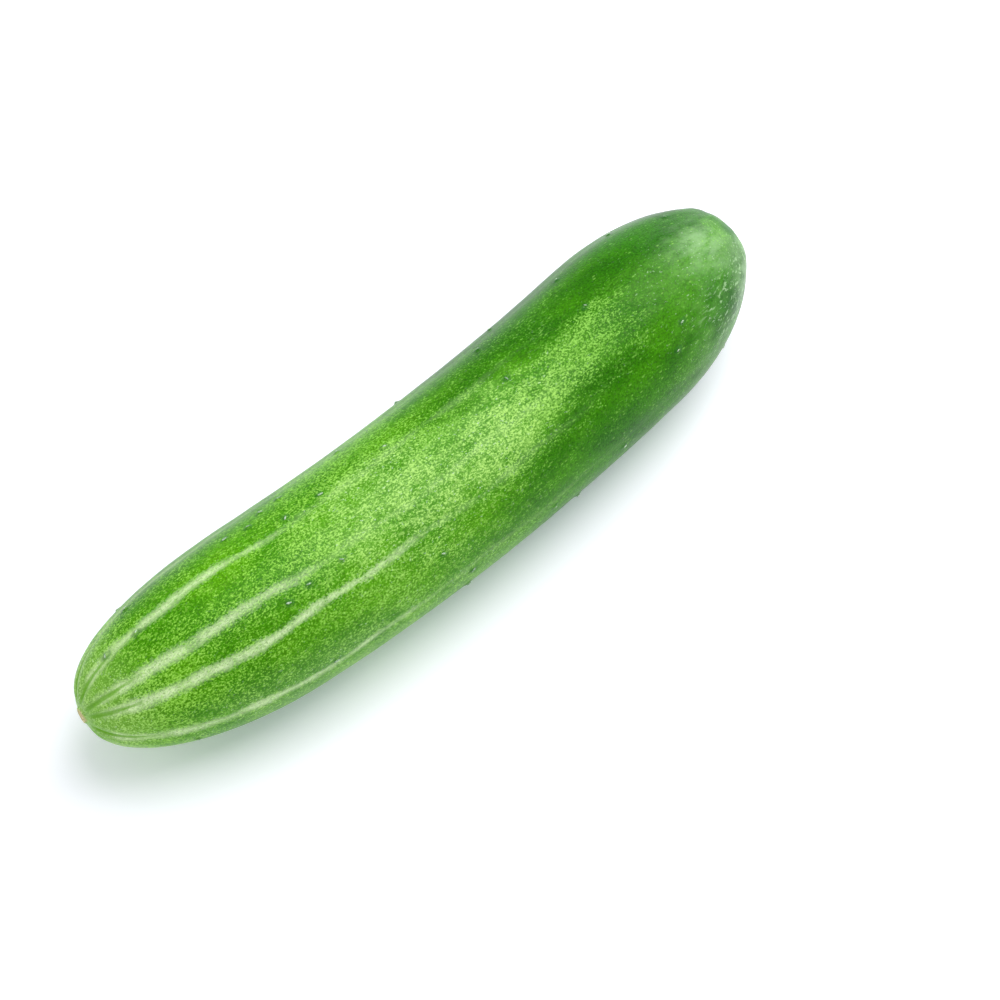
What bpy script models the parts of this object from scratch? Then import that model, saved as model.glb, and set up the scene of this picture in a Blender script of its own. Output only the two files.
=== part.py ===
"""A whole slicing cucumber, picked and lying on its side, with the stub of its stem.

Metres, +Z up. +X runs from the blossom end to the stem end, the fruit bows out towards -Y,
and it rests on a small flat spot at Z = 0.
"""

import math
import random

import bmesh
import bpy
from mathutils import Vector

MM = 0.001

# The fruit's driving dimensions.
CENTRELINE = 210.3 * MM  # from the blossom end to where the stem end's dome would close
DIAMETER = 44.3 * MM
WIDENING = 0.018  # the stem end is fuller than the blossom end by this share
BOW = 9.3 * MM  # the middle stands this far out of line with the two ends
SWAY = 0.95 * MM  # a slight double bend on top of the bow
STEM_TURN = 0.7 * MM  # the stem end turns aside by this much over its last fifth
BLOSSOM_TAPER = 51.5 * MM
BLOSSOM_FULLNESS = 2.32  # 2 is an ellipse, more is blunter
STEM_TAPER = 45 * MM
STEM_FULLNESS = 1.6
BELLY_CUT = 0.22 * MM  # how much the fruit's own weight flattens it underneath

# The ten pale veins run from end to end in shallow valleys. Degrees from +Z towards +Y.
VEIN_ANGLES = (23, 58, 94, 130, 166, 203, 239, 275, 321, 347)
SEGMENTS_PER_LOBE = 6
LOBE_ON_BODY = 0.22 * MM
LOBE_AT_BLOSSOM_END = 0.45 * MM
LOBE_AT_STEM_END = 0.32 * MM
LOBE_REACH = 14 * MM  # how fast the lobes of both ends fade into the body
CREASE = 0.25 * MM  # the veins' grooves beside the blossom scar
CREASE_REACH = 9 * MM

# The uneven swelling of the body.
SWELL = 0.18 * MM
SWELL_LENGTH = 130 * MM
SWELL_PEAK = 99 * MM  # from the blossom end, on the side at this angle and on the one across from it
SWELL_ANGLE = 66

# The dry scar where the flower sat.
SCAR_RADIUS = 2.1 * MM
SCAR_RIM = 0.35 * MM
SCAR_DISH = 0.25 * MM

# The hollow round the stem, and the socket that the stem grows out of.
HOLLOW_RADIUS = 8.4 * MM
HOLLOW_DEPTH = 3.4 * MM
RIM_ROUNDING = 1.2 * MM
SOCKET_RADIUS = 3.0 * MM
SOCKET_DEPTH = 2.2 * MM

# Spine scars: low warts. These are on the side that is seen, as (mm from the blossom end, degrees).
SEEN_WARTS = (
    (10, 15),
    (18, 10),
    (20, 42),
    (48, 32),
    (54, 28),
    (59, 36),
    (65, 38),
    (62, 17),
    (50, 328),
    (56, 331),
    (66, 333),
    (72, 17),
    (85, 48),
    (92, 18),
    (88, 298),
    (94, 268),
    (55, 275),
    (120, 266),
    (129, 38),
    (126, 2),
    (138, 56),
    (143, 266),
    (158, 40),
    (154, 4),
    (165, 303),
    (170, 315),
    (179, 48),
    (192, 26),
)
# The hidden side gets a few to each lobe.
WARTS_PER_LOBE = 5
SEEN_FROM = 262
SEEN_TO = 60
WART_BASE = 1.15 * MM
WART_TOP = 0.35 * MM
WART_HEIGHT = 0.42 * MM
WART_ROOT = 0.7 * MM
WART_SIDES = 8
WART_CLEAR_OF_BELLY = 32  # degrees either side of straight down
WART_SEED = 11

# The stub of the stem.
STUB_ROOT_RADIUS = 2.65 * MM
STUB_COLLAR_RADIUS = 3.35 * MM
STUB_NECK_RADIUS = 2.5 * MM
STUB_END_RADIUS = 2.75 * MM
STUB_HEIGHT = 3.9 * MM  # above the hollow's floor
STUB_RIDGES = 5
STUB_RIDGE_HEIGHT = 0.32 * MM
STUB_SEGMENTS = 30
STUB_CUT_SLOPE = 0.14
STUB_CUT_DISH = 0.35 * MM
GAP = 0.3 * MM  # between the stub and its socket

# Rings along each stretch of the fruit.
BLOSSOM_RINGS = 15
BODY_RINGS = 17
STEM_RINGS = 13
HOLLOW_RINGS = 8

RADIUS = DIAMETER / 2
BOW_RADIUS = (CENTRELINE / 2) ** 2 / (2 * BOW) + BOW / 2


def clear_scene():
    for thing in list(bpy.data.objects):
        bpy.data.objects.remove(thing, do_unlink=True)


def make_material(name, colour, roughness):
    material = bpy.data.materials.new(name)
    material.use_nodes = True
    shader = material.node_tree.nodes["Principled BSDF"]
    shader.inputs["Base Color"].default_value = (*colour, 1.0)
    shader.inputs["Roughness"].default_value = roughness
    shader.inputs["Metallic"].default_value = 0.0
    return material


def bowed(x, across, up):
    """A point of the straight fruit, x along it from the blossom end, carried onto the bowed line."""
    from_middle = 2 * x / CENTRELINE - 1
    sway = SWAY * (from_middle - from_middle**3)
    sway += STEM_TURN * max(0.0, (from_middle - 0.6) / 0.4) ** 2
    turn = (x - CENTRELINE / 2) / BOW_RADIUS
    out = BOW_RADIUS - across - sway
    return Vector((out * math.sin(turn), BOW_RADIUS - out * math.cos(turn), up))


def blossom_dome(x):
    """The radius of the blossom end's dome at distance x from its tip."""
    left = 1 - x / BLOSSOM_TAPER
    return RADIUS * (1 - left * left) ** (1 / BLOSSOM_FULLNESS)


def stem_dome(radius):
    """How far the stem end's dome lies from the end of the centreline, at this radius."""
    return STEM_TAPER * (1 - math.sqrt(max(0.0, 1 - (radius / RADIUS) ** STEM_FULLNESS)))


def stem_end(radius):
    """How far the skin lies from the centreline's end: the dome, blended at the rim into the hollow."""
    dome = stem_dome(radius)
    hollow = stem_dome(HOLLOW_RADIUS) + HOLLOW_DEPTH * (1 - (radius / HOLLOW_RADIUS) ** 2)
    return (dome + hollow + math.hypot(dome - hollow, RIM_ROUNDING)) / 2


def fruit_profile():
    """The fruit's stations as (x, radius), from the blossom scar to the bottom of the stem's socket."""
    scar_foot = 0.25 * MM
    stations = [
        (SCAR_DISH, 0.45 * SCAR_RADIUS),
        (0.0, 0.85 * SCAR_RADIUS),
        (0.3 * SCAR_RIM, SCAR_RADIUS),
        (SCAR_RIM + scar_foot, SCAR_RADIUS + 0.1 * MM),
    ]
    dome_start = SCAR_RIM
    for ring in range(BLOSSOM_RINGS):
        share = (ring + 1) / BLOSSOM_RINGS
        x = BLOSSOM_TAPER * (1 - math.cos(0.5 * math.pi * share))
        stations.append((dome_start + x * (1 - dome_start / BLOSSOM_TAPER), blossom_dome(x)))
    body_end = CENTRELINE - STEM_TAPER
    for ring in range(1, BODY_RINGS):
        share = ring / BODY_RINGS
        stations.append((BLOSSOM_TAPER + share * (body_end - BLOSSOM_TAPER), RADIUS))
    shoulder = HOLLOW_RADIUS + RIM_ROUNDING
    for ring in range(STEM_RINGS):
        radius = RADIUS * math.cos(0.5 * math.pi * ring / STEM_RINGS) ** (2 / STEM_FULLNESS)
        if radius > shoulder:
            stations.append((CENTRELINE - stem_end(radius), radius))
    for ring in range(HOLLOW_RINGS):
        radius = shoulder + ring / (HOLLOW_RINGS - 1) * (SOCKET_RADIUS - shoulder)
        stations.append((CENTRELINE - stem_end(radius), radius))
    stations.append((CENTRELINE - stem_end(SOCKET_RADIUS) - SOCKET_DEPTH, SOCKET_RADIUS))
    return stations


def profile_normals(stations):
    """The outward normal of the profile at each station, as (along, out)."""
    normals = []
    for i in range(len(stations)):
        before = stations[max(i - 1, 0)]
        after = stations[min(i + 1, len(stations) - 1)]
        step = Vector((after[0] - before[0], after[1] - before[1])).normalized()
        normals.append((-step.y, step.x))
    return normals


def ring_angles():
    """(angle in radians, share of the way from one vein to the next) of each point of a ring."""
    angles = []
    for i, start in enumerate(VEIN_ANGLES):
        end = VEIN_ANGLES[(i + 1) % len(VEIN_ANGLES)]
        width = (end - start) % 360
        for k in range(SEGMENTS_PER_LOBE):
            share = k / SEGMENTS_PER_LOBE
            angles.append((math.radians(start + share * width), share))
    return angles


def relief(x, radius, angle, share):
    """How far the skin stands out of the smooth profile, with its lobes, creases and swelling."""
    from_stem = CENTRELINE - x
    height = LOBE_ON_BODY
    height += (LOBE_AT_BLOSSOM_END - LOBE_ON_BODY) * math.exp(-((x / LOBE_REACH) ** 2))
    height += (LOBE_AT_STEM_END - LOBE_ON_BODY) * math.exp(-((from_stem / LOBE_REACH) ** 2))
    lobe = height * (math.sin(math.pi * share) - 0.6)
    crease = CREASE * math.exp(-((x / CREASE_REACH) ** 2)) if share == 0 else 0.0
    wave = 2 * math.pi * (x - SWELL_PEAK) / SWELL_LENGTH + 2 * (angle - math.radians(SWELL_ANGLE))
    swelling = SWELL * math.cos(wave) * radius / RADIUS
    fade = min(1.0, max(0.0, (radius - SOCKET_RADIUS) / SOCKET_RADIUS))
    widening = radius * WIDENING * (x / CENTRELINE - 0.5)
    return (lobe - crease + swelling + widening) * fade


def skin_point(station, normal, angle, share):
    x, radius = station
    out = relief(x, radius, angle, share)
    reach = radius + out * normal[1]
    return bowed(x + out * normal[0], reach * math.sin(angle), reach * math.cos(angle))


def skin(bm, rings, first_cap=True, last_cap=True):
    """Quads between neighbouring rings, and a face over each end."""
    for before, after in zip(rings, rings[1:]):
        for i, corner in enumerate(before):
            j = (i + 1) % len(before)
            bm.faces.new((corner, before[j], after[j], after[i]))
    if first_cap:
        bm.faces.new(list(reversed(rings[0])))
    if last_cap:
        bm.faces.new(rings[-1])
    bmesh.ops.recalc_face_normals(bm, faces=bm.faces)


def flatten_belly(bm, height):
    """Cuts the fruit off level at this height, where it lies on its side."""
    cut = bmesh.ops.bisect_plane(
        bm,
        geom=bm.verts[:] + bm.edges[:] + bm.faces[:],
        dist=0.001 * MM,
        plane_co=(0, 0, height),
        plane_no=(0, 0, -1),
        clear_outer=True,
    )
    rim = [edge for edge in cut["geom_cut"] if isinstance(edge, bmesh.types.BMEdge)]
    bmesh.ops.holes_fill(bm, edges=rim, sides=0)
    bmesh.ops.recalc_face_normals(bm, faces=bm.faces)


def object_from(bm, name, material):
    mesh = bpy.data.meshes.new(name)
    bm.to_mesh(mesh)
    bm.free()
    mesh.materials.append(material)
    mesh.shade_smooth()
    thing = bpy.data.objects.new(name, mesh)
    bpy.context.scene.collection.objects.link(thing)
    return thing


def make_wart(place, outwards, index, collection):
    """One low cone of the spine scars, rooted in the skin."""
    bm = bmesh.new()
    bmesh.ops.create_cone(
        bm,
        cap_ends=True,
        segments=WART_SIDES,
        radius1=WART_BASE,
        radius2=WART_TOP,
        depth=WART_HEIGHT + WART_ROOT,
    )
    bmesh.ops.translate(bm, verts=bm.verts, vec=(0, 0, (WART_HEIGHT - WART_ROOT) / 2))
    mesh = bpy.data.meshes.new(f"wart_{index}")
    bm.to_mesh(mesh)
    bm.free()
    wart = bpy.data.objects.new(mesh.name, mesh)
    wart.rotation_euler = outwards.to_track_quat("Z", "Y").to_euler()
    wart.location = place
    collection.objects.link(wart)


def wart_places():
    """(x, angle in radians) of each wart. The hidden side's come at uneven steps, none on the belly."""
    draw = random.Random(WART_SEED)
    places = [(x * MM, math.radians(angle)) for x, angle in SEEN_WARTS]
    for i, start in enumerate(VEIN_ANGLES):
        width = (VEIN_ANGLES[(i + 1) % len(VEIN_ANGLES)] - start) % 360
        for k in range(WARTS_PER_LOBE):
            share = (k + draw.uniform(0.15, 0.85)) / WARTS_PER_LOBE
            x = CENTRELINE * (0.06 + 0.86 * share)
            angle = (start + width * draw.uniform(0.2, 0.8)) % 360
            if SEEN_TO < angle < SEEN_FROM and abs(angle - 180) > WART_CLEAR_OF_BELLY:
                places.append((x, math.radians(angle)))
    return places


def surface_at(fruit, x, angle):
    """The place and the outward direction of the fruit's skin there, seen from its bowed axis."""
    axis = bowed(x, 0, 0)
    towards = (bowed(x, math.sin(angle), math.cos(angle)) - axis).normalized()
    hit, place, normal, _ = fruit.ray_cast(axis + towards * 2 * RADIUS, -towards)
    assert hit
    return place, normal


def add_warts(fruit):
    """The spine scars, joined to the skin by one union."""
    collection = bpy.data.collections.new("warts")
    bpy.context.scene.collection.children.link(collection)
    for index, (x, angle) in enumerate(wart_places()):
        place, outwards = surface_at(fruit, x, angle)
        make_wart(place, outwards, index, collection)
    union = fruit.modifiers.new("warts", "BOOLEAN")
    union.operation = "UNION"
    union.operand_type = "COLLECTION"
    union.collection = collection
    union.solver = "MANIFOLD"
    bpy.context.view_layer.objects.active = fruit
    bpy.ops.object.modifier_apply(modifier=union.name)
    for wart in list(collection.objects):
        bpy.data.objects.remove(wart, do_unlink=True)
    bpy.data.collections.remove(collection)


def make_fruit(material):
    bm = bmesh.new()
    stations = fruit_profile()
    rings = []
    for station, normal in zip(stations, profile_normals(stations)):
        rings.append([bm.verts.new(skin_point(station, normal, *a)) for a in ring_angles()])
    skin(bm, rings)
    flatten_belly(bm, BELLY_CUT - RADIUS)
    fruit = object_from(bm, "fruit", material)
    add_warts(fruit)
    return fruit


def stub_profile():
    """The stub's stations from its root: (height above the hollow's floor, radius, share of ridges)."""
    return (
        (GAP - SOCKET_DEPTH, STUB_ROOT_RADIUS, 0.0),
        (GAP, STUB_ROOT_RADIUS, 0.0),
        (2 * GAP, STUB_COLLAR_RADIUS - GAP, 0.3),
        (3.2 * GAP, STUB_COLLAR_RADIUS, 0.6),
        (0.36 * STUB_HEIGHT, 0.5 * (STUB_COLLAR_RADIUS + STUB_NECK_RADIUS), 0.9),
        (0.6 * STUB_HEIGHT, STUB_NECK_RADIUS, 1.0),
        (STUB_HEIGHT, STUB_END_RADIUS, 1.0),
    )


def make_stem_stub(material):
    """The ridged end of the stem, cut off on a slant, rooted in the socket without touching it."""
    bm = bmesh.new()
    floor = CENTRELINE - stem_end(SOCKET_RADIUS)
    rings = []
    for height, radius, ridged in stub_profile():
        ring = []
        for i in range(STUB_SEGMENTS):
            angle = 2 * math.pi * i / STUB_SEGMENTS
            reach = radius + STUB_RIDGE_HEIGHT * ridged * math.cos(STUB_RIDGES * angle)
            across, up = reach * math.sin(angle), reach * math.cos(angle)
            slant = STUB_CUT_SLOPE * up * max(0.0, height / STUB_HEIGHT) ** 2
            ring.append(bm.verts.new(bowed(floor + height + slant, across, up)))
        rings.append(ring)
    skin(bm, rings, last_cap=False)
    centre = bm.verts.new(bowed(floor + STUB_HEIGHT - STUB_CUT_DISH, 0, 0))
    for i, corner in enumerate(rings[-1]):
        bm.faces.new((corner, rings[-1][(i + 1) % STUB_SEGMENTS], centre))
    bmesh.ops.recalc_face_normals(bm, faces=bm.faces)
    return object_from(bm, "stem_stub", material)


def set_down(things):
    """Moves the meshes so that the whole stands on Z = 0, with its middle over the origin."""
    points = [vertex.co for thing in things for vertex in thing.data.vertices]
    low = Vector([min(point[i] for point in points) for i in range(3)])
    high = Vector([max(point[i] for point in points) for i in range(3)])
    middle = (low + high) / 2
    for thing in things:
        for vertex in thing.data.vertices:
            vertex.co -= Vector((middle.x, middle.y, low.z))


def main():
    clear_scene()
    skin_green = make_material("cucumber_skin", (0.105, 0.27, 0.03), 0.32)
    stem_green = make_material("cut_stem", (0.2, 0.36, 0.07), 0.6)
    set_down([make_fruit(skin_green), make_stem_stub(stem_green)])


main()
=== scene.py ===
"""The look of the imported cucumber: its skin, its spine scars and the stub of its stem.

Metres, +Z up. +X runs from the blossom end to the stem end, and the fruit bows out towards -Y.
Angles round the fruit are in degrees from +Z towards +Y. Distances along it start at the blossom end.
The fruit is shaped and coloured straight, with its axis on X, and then bent.
"""

import math
import random

import bpy
import numpy as np
from mathutils import Matrix, Quaternion, Vector, noise


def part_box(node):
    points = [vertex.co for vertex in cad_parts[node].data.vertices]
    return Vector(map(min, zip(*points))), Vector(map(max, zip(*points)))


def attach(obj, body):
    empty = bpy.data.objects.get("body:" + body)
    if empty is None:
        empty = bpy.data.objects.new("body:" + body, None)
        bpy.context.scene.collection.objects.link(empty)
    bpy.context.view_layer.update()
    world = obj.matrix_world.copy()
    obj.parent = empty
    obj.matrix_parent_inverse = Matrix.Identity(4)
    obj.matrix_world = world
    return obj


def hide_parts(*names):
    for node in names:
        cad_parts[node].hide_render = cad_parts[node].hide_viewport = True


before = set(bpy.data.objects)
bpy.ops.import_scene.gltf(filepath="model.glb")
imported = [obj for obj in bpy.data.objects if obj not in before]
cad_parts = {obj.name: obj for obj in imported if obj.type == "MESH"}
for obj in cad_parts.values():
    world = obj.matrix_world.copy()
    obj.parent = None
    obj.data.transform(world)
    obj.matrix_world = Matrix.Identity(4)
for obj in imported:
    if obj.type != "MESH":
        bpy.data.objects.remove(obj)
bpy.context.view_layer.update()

MM = 0.001
rng = random.Random(11)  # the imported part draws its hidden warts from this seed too

# The fruit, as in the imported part, but for the softer rim of its hollow.
CENTRELINE = 210.3 * MM
RADIUS = 22.15 * MM
WIDENING = 0.018
BOW = 9.3 * MM
BOW_RADIUS = (CENTRELINE / 2) ** 2 / (2 * BOW) + BOW / 2
SWAY = 0.95 * MM
STEM_TURN = 0.7 * MM
STEM_TURN_START = 0.6  # of the way from the fruit's middle to its end
BLOSSOM_TAPER = 51.5 * MM
BLOSSOM_FULLNESS = 2.32
STEM_TAPER = 45 * MM
STEM_FULLNESS = 1.6
HOLLOW_RADIUS = 8.4 * MM
HOLLOW_DEPTH = 3.4 * MM
RIM_ROUNDING = 2.6 * MM
SOCKET_RADIUS = 3.0 * MM
SOCKET_DEPTH = 2.2 * MM
SCAR_RADIUS = 2.1 * MM
SCAR_RIM = 0.35 * MM
SCAR_DISH = 0.25 * MM
BELLY_CUT = 0.22 * MM

# The low ribs between the veins, and the slightly oval section, whose long way turns along the fruit.
RIB_ON_BODY = 0.22 * MM
RIB_AT_BLOSSOM_END = 0.45 * MM
RIB_AT_STEM_END = 0.32 * MM
RIB_REACH = 14 * MM
CREASE_DEPTH = 0.16 * MM
CREASE_WIDTH = 0.45 * MM
CREASE_REACH = 10 * MM
OVAL_HEIGHT = 0.18 * MM
OVAL_PITCH = 130 * MM
OVAL_START = 99 * MM
OVAL_ANGLE = 66

# The stub of the stem. Its ridges and its slant start above the floor of the hollow.
STUB_ROOT = 2.65 * MM
STUB_COLLAR = 3.35 * MM
STUB_NECK = 2.5 * MM
STUB_END = 2.75 * MM
STUB_HEIGHT = 3.9 * MM
STUB_RIDGES = 5
STUB_RIDGE_HEIGHT = 0.32 * MM
STUB_FINE_RIDGES = 15
STUB_FINE_RIDGE_HEIGHT = 0.10 * MM
STUB_SLANT = 0.14

# How finely the two meshes are made.
FRUIT_SIDES = 60
STUB_SIDES = 40
DOME_RINGS = 22
DOME_START = 1.6  # the dome's first ring, in steps, clear of the blossom scar
BODY_RINGS = 43
SHOULDER_RINGS = 20
HOLLOW_RINGS = 10
ROUNDING_LEVELS = 2

# The pale veins: their angles, how strongly each one shows, and where it has faded, in mm.
VEIN_ANGLES = (12, 50, 88, 127, 166, 203, 239, 273, 316, 338)
VEIN_STRENGTHS = (0.85, 0.3, 0.8, 0.9, 0.6, 0.9, 0.7, 0.85, 1.0, 0.85)
VEIN_ENDS = (68, 70, 95, 80, 70, 90, 75, 92, 98, 70)
VEIN_WIDTH = 1.75  # mm from its middle to its ragged edge, by the blossom end
THIN_VEIN_WIDTH = 1.10  # the same, further along
FAINT_VEIN = 0.16  # the share of its strength that a vein keeps past its end

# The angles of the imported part's ribs, which its hidden warts are drawn between.
PACKED_RIBS = (23, 58, 94, 130, 166, 203, 239, 275, 321, 347)
WARTS_PER_RIB = 5
WARTS_CLEAR_OF_BELLY = 32  # degrees either side of straight down

# Spine scars on the side that is seen, as (mm from the blossom end, degrees).
SEEN_WARTS = (
    (10, 15),
    (18, 10),
    (20, 42),
    (48, 32),
    (54, 28),
    (59, 36),
    (65, 38),
    (62, 17),
    (50, 328),
    (56, 331),
    (66, 333),
    (72, 17),
    (85, 48),
    (92, 18),
    (88, 298),
    (94, 268),
    (55, 275),
    (120, 266),
    (129, 38),
    (126, 2),
    (138, 56),
    (143, 266),
    (158, 40),
    (154, 4),
    (165, 303),
    (170, 315),
    (179, 48),
    (192, 26),
)


def linear(red, green, blue):
    """An sRGB colour, 0 to 255, as Blender's linear values."""
    values = []
    for value in (red, green, blue):
        share = value / 255
        values.append(share / 12.92 if share <= 0.04045 else ((share + 0.055) / 1.055) ** 2.4)
    return (*values, 1.0)


# Pairs are the two ends of a mottled colour.
BRIGHT_GREENS = (linear(68, 142, 0), linear(88, 160, 4))
DEEP_GREENS = (linear(26, 92, 0), linear(46, 118, 0))
BLOSSOM_GREEN = linear(140, 194, 74)
# The skin's pale haze, whitened further as painted sheen.
HAZE_AND_SHEEN = linear(126, 182, 88)
PAINTED_HIGHLIGHT = linear(152, 192, 136)
# Painted highlight patches on the stem end's dome.
FLECK = linear(150, 212, 78)
# Whiter flecks: partly as the skin has them, partly painted sheen.
PALE_AND_SHEEN_FLECK = linear(174, 222, 114)
DARK_SIDE_FLECK = linear(112, 174, 74)
# Painted glints: bright specks that stand in for tiny highlights on the glossy skin.
PAINTED_GLINT = linear(214, 236, 206)
VEIN = linear(224, 246, 190)
WEDGE_GREEN = linear(104, 168, 30)
# Painted glints along the stem end's wrinkles.
PAINTED_GLINT_STREAK = linear(176, 214, 158)
# Painted shade where the rim dips into the stem's hollow.
PAINTED_RIM_SHADE = linear(44, 98, 52)
# Painted shade in the hollow round the stem.
PAINTED_HOLLOW_SHADE = linear(40, 84, 44)
# Painted shade round the foot of each wart.
PAINTED_WART_SHADE = linear(36, 92, 44)
BLOSSOM_SCAR_TANS = (linear(176, 160, 104), linear(226, 216, 168))
STEM_GREENS = (linear(74, 118, 38), linear(150, 186, 92))
DRY_CUT = (linear(150, 142, 84), linear(214, 212, 158))
SPINE_SCAR_GREENS = (linear(112, 156, 110), linear(204, 224, 196))


def smooth(low, high, value):
    """0 below low, 1 above high, eased between them. Takes arrays too."""
    share = np.clip((value - low) / (high - low), 0.0, 1.0)
    return share * share * (3 - 2 * share)


def bell(value, width):
    """1 where the value is 0, and next to nothing twice this width away on either side."""
    return np.exp(-((value / width) ** 2))


# Shader building blocks.


class Tree:
    """A node tree with short calls for the nodes that the looks are made of."""

    def __init__(self, tree):
        self.tree = tree
        self.nodes = tree.nodes
        self.links = tree.links

    def set(self, socket, value):
        if isinstance(value, bpy.types.NodeSocket):
            self.links.new(value, socket)
        else:
            socket.default_value = value

    def maths(self, operation, *values):
        node = self.nodes.new("ShaderNodeMath")
        node.operation = operation
        for i, value in enumerate(values):
            self.set(node.inputs[i], value)
        return node.outputs[0]

    def plus(self, first, second):
        return self.maths("ADD", first, second)

    def minus(self, first, second):
        return self.maths("SUBTRACT", first, second)

    def times(self, first, *others):
        product = first
        for value in others:
            product = self.maths("MULTIPLY", product, value)
        return product

    def ease(self, value, low, high, to_low=0.0, to_high=1.0):
        node = self.nodes.new("ShaderNodeMapRange")
        node.interpolation_type = "SMOOTHSTEP"
        self.set(node.inputs["Value"], value)
        self.set(node.inputs["From Min"], low)
        self.set(node.inputs["From Max"], high)
        self.set(node.inputs["To Min"], to_low)
        self.set(node.inputs["To Max"], to_high)
        return node.outputs["Result"]

    def mix(self, factor, first, second, blend="MIX"):
        node = self.nodes.new("ShaderNodeMix")
        node.data_type = "RGBA"
        node.blend_type = blend
        self.set(node.inputs[0], factor)
        self.set(node.inputs[6], first)
        self.set(node.inputs[7], second)
        return node.outputs[2]

    def tint(self, colour, towards, mask, most):
        """The colour drawn towards another, by up to this share where the mask is 1."""
        return self.mix(self.times(mask, most), colour, towards)

    def grey(self, value):
        node = self.nodes.new("ShaderNodeCombineColor")
        for channel in node.inputs:
            self.set(channel, value)
        return node.outputs[0]

    def lengthened(self, vector, share):
        """Places squeezed to this share along X, so that a pattern on them is drawn out along the fruit."""
        node = self.nodes.new("ShaderNodeMapping")
        self.set(node.inputs["Vector"], vector)
        node.inputs["Scale"].default_value = (share, 1.0, 1.0)
        return node.outputs["Vector"]

    def noise(self, vector, scale, detail, roughness, distortion=0.0):
        """Soft noise with this many features to the metre."""
        node = self.nodes.new("ShaderNodeTexNoise")
        self.set(node.inputs["Vector"], vector)
        node.inputs["Scale"].default_value = scale
        node.inputs["Detail"].default_value = detail
        node.inputs["Roughness"].default_value = roughness
        node.inputs["Distortion"].default_value = distortion
        return node.outputs[0]

    def cells(self, vector, scale):
        """The distance from the middle of the nearest cell, and that cell's own random value."""
        node = self.nodes.new("ShaderNodeTexVoronoi")
        self.set(node.inputs["Vector"], vector)
        node.inputs["Scale"].default_value = scale
        return node.outputs["Distance"], node.outputs["Color"]

    def attribute(self, name):
        node = self.nodes.new("ShaderNodeAttribute")
        node.attribute_name = name
        return node.outputs["Fac"]

    def group(self, group, **values):
        node = self.nodes.new("ShaderNodeGroup")
        node.node_tree = group
        for name, value in values.items():
            self.set(node.inputs[name], value)
        return node

    def bump(self, height, strength, distance):
        node = self.nodes.new("ShaderNodeBump")
        node.inputs["Strength"].default_value = strength
        node.inputs["Distance"].default_value = distance
        self.links.new(height, node.inputs["Height"])
        return node.outputs["Normal"]


def new_group(name, inputs, outputs):
    """A node group with these sockets, and its Tree, input node and output node."""
    group = bpy.data.node_groups.new(name, "ShaderNodeTree")
    for socket, kind in inputs:
        group.interface.new_socket(socket, in_out="INPUT", socket_type=kind)
    for socket, kind in outputs:
        group.interface.new_socket(socket, in_out="OUTPUT", socket_type=kind)
    tree = Tree(group)
    return group, tree, tree.nodes.new("NodeGroupInput"), tree.nodes.new("NodeGroupOutput")


def new_material(name):
    """A material, its Tree, its shader and the place of each point of the piece."""
    material = bpy.data.materials.new(name)
    material.use_nodes = True
    tree = Tree(material.node_tree)
    where = tree.nodes.new("ShaderNodeTexCoord").outputs["Object"]
    return material, tree, tree.nodes["Principled BSDF"], where


FLOAT, VECTOR = "NodeSocketFloat", "NodeSocketVector"


def speckle_group():
    """Fine pale grain, crowded where Amount is high, with a few longer dashes, and rare bright specks as
    painted glints.
    """
    group, tree, given, out = new_group(
        "Pale flecks",
        [("Vector", VECTOR), ("Amount", FLOAT)],
        [("Flecks", FLOAT), ("Crowd", FLOAT), ("Grain", FLOAT), ("Glints", FLOAT)],
    )
    where = given.outputs["Vector"]
    amount = given.outputs["Amount"]
    grain = tree.noise(tree.lengthened(where, 0.7), scale=2300, detail=2, roughness=0.7, distortion=0.2)
    clusters = tree.noise(tree.lengthened(where, 0.5), scale=380, detail=2, roughness=0.6)
    patches = tree.noise(tree.lengthened(where, 0.3), scale=80, detail=2, roughness=0.5)
    crowd = tree.plus(tree.times(clusters, 0.5), tree.times(patches, 0.5))
    crowd = tree.ease(crowd, 0.38, 0.62)

    # Specks show where the grain rises over a level, which is lower in a crowd and at a high Amount.
    level = tree.plus(tree.times(crowd, -0.10), tree.ease(amount, 0.0, 1.0, 0.225, 0.072))
    over = tree.minus(tree.minus(grain, 0.5), level)
    soft_specks = tree.times(tree.ease(over, -0.035, 0.065), 0.55)
    hard_specks = tree.times(tree.ease(over, 0.03, 0.12), 0.45)
    specks = tree.plus(soft_specks, hard_specks)

    distance, chance = tree.cells(tree.lengthened(where, 0.4), scale=1100)
    dashes = tree.ease(distance, 0.12, 0.30, 1.0, 0.0)
    picked = tree.ease(tree.plus(chance, tree.times(clusters, 1.1)), 1.19, 1.30)
    dashes = tree.times(dashes, picked, 0.6)

    # Scratches follow the middle level of a wider noise, in short runs.
    wider = tree.noise(tree.lengthened(where, 0.55), scale=620, detail=2, roughness=0.6, distortion=0.2)
    line = tree.ease(tree.maths("ABSOLUTE", tree.minus(wider, 0.5)), 0.01, 0.045, 1.0, 0.0)
    runs = tree.ease(tree.noise(where, scale=900, detail=2, roughness=0.5), 0.46, 0.56)
    scratches = tree.times(line, runs, tree.ease(amount, 0.1, 0.9, 0.0, 0.55))

    flecks = tree.maths("MAXIMUM", tree.maths("MAXIMUM", specks, dashes), scratches)
    # Painted glints: rare bright specks that stand in for tiny highlights.
    glints = tree.noise(tree.lengthened(where, 0.6), scale=1700, detail=2, roughness=0.7)
    tree.links.new(flecks, out.inputs["Flecks"])
    tree.links.new(crowd, out.inputs["Crowd"])
    tree.links.new(grain, out.inputs["Grain"])
    tree.links.new(tree.ease(glints, 0.64, 0.72), out.inputs["Glints"])
    return group


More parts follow.
